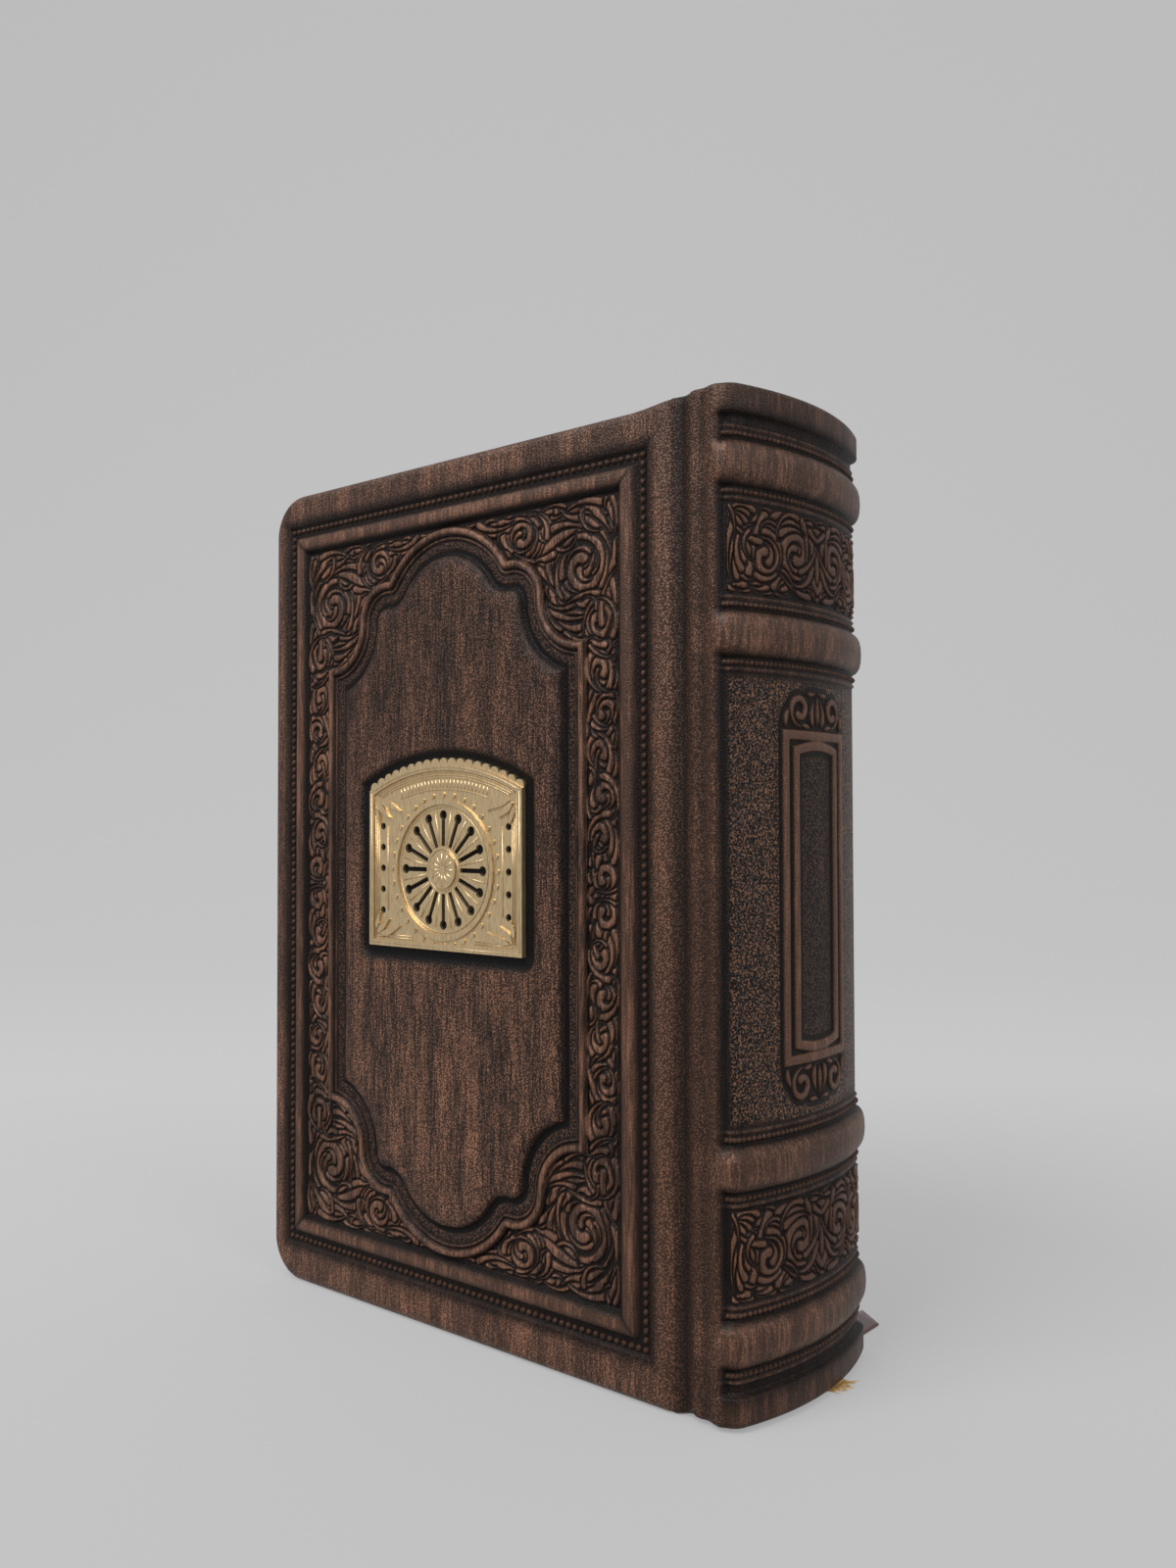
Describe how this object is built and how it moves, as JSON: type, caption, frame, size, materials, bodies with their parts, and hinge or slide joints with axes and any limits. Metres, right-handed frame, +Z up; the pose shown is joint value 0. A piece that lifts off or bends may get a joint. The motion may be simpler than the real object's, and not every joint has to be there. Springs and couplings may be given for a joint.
{
  "type": "leather-bound book",
  "caption": "Hardback book in embossed antiqued leather with a rounded, banded spine, a gilt metal plate on the front cover, ribbon markers and covers that open",
  "frame": {"origin": "on the table under the middle of the closed book's box, the ribbon markers left out", "axes": "+Z up from tail to head, -Y out of the front cover, +X out of the spine, -X out of the fore-edge"},
  "size_m": [0.1258, 0.0624, 0.1705],
  "materials": {
    "leather": "satin, antiqued",
    "board": "matte",
    "card": "matte",
    "endpaper": "matte",
    "pages": "matte",
    "cloth": "matte",
    "endband": "matte",
    "plate": "satin",
    "ribbon_maroon": "satin",
    "ribbon_gold": "satin"
  },
  "bodies": {
    "text_and_spine": {"spine_leather": "leather", "spine_stiffener": "card", "raised_band_1": "card", "raised_band_2": "card", "raised_band_3": "card", "raised_band_4": "card", "text_block": "pages", "mull": "cloth", "spine_lining": "card", "headband": "endband", "tailband": "endband", "front_flyleaf": "endpaper", "back_flyleaf": "endpaper", "ribbon_maroon": "ribbon_maroon", "ribbon_gold": "ribbon_gold"},
    "front_cover": {"front_board": "board", "front_leather": "leather", "front_panel_pad": "card", "front_infill": "card", "front_pastedown": "endpaper", "front_plate": "plate"},
    "back_cover": {"back_board": "board", "back_leather": "leather", "back_panel_pad": "card", "back_infill": "card", "back_pastedown": "endpaper"}
  },
  "joints": [
    {"name": "front_cover_joint", "type": "hinge", "parent": "text_and_spine", "child": "front_cover", "pos_m": [0.0486, -0.02275, 0.085], "axis": [0, 0, 1], "range_deg": [0, 175]},
    {"name": "back_cover_joint", "type": "hinge", "parent": "text_and_spine", "child": "back_cover", "pos_m": [0.0486, 0.02275, 0.085], "axis": [0, 0, -1], "range_deg": [0, 175], "deforming": ["ribbon_maroon"]}
  ]
}
